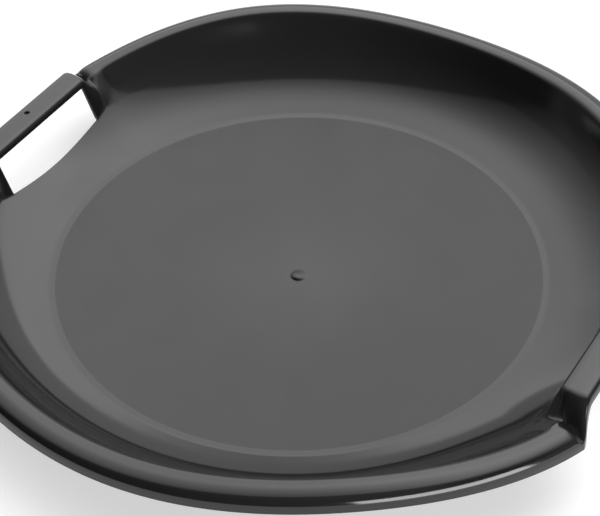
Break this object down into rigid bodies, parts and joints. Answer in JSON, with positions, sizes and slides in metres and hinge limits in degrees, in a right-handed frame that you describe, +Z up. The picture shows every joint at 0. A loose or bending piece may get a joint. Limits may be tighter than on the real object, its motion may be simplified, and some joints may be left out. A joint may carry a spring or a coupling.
{
  "type": "saucer sled",
  "caption": "Round, shallow dish-shaped snow sled of black moulded plastic with a grained seat, a wavy rolled rim and a raised grip bar over a finger opening on each side.",
  "frame": {"origin": "middle of the sled on the ground plane under the seat", "axes": "+X from the middle towards the right grip, +Y towards the rear long side, +Z up"},
  "size_m": [0.5802, 0.5952, 0.0754],
  "materials": {
    "shell": "smooth moulded black polyethylene, semi-gloss",
    "seat_grain": "fine spark-eroded grain moulded into black polyethylene"
  },
  "bodies": {
    "root": {"seat_disc": "seat_grain", "gate_nub": "seat_grain", "wall_rear": "shell", "wall_front": "shell", "rim_rear": "shell", "rim_front": "shell", "apron_right": "shell", "handle_bar_right": "shell", "handle_post_right_rear": "shell", "handle_post_right_front": "shell", "handle_shoulder_right_rear": "shell", "handle_shoulder_right_front": "shell", "apron_left": "shell", "handle_bar_left": "shell", "handle_post_left_rear": "shell", "handle_post_left_front": "shell", "handle_shoulder_left_rear": "shell", "handle_shoulder_left_front": "shell"}
  },
  "joints": []
}
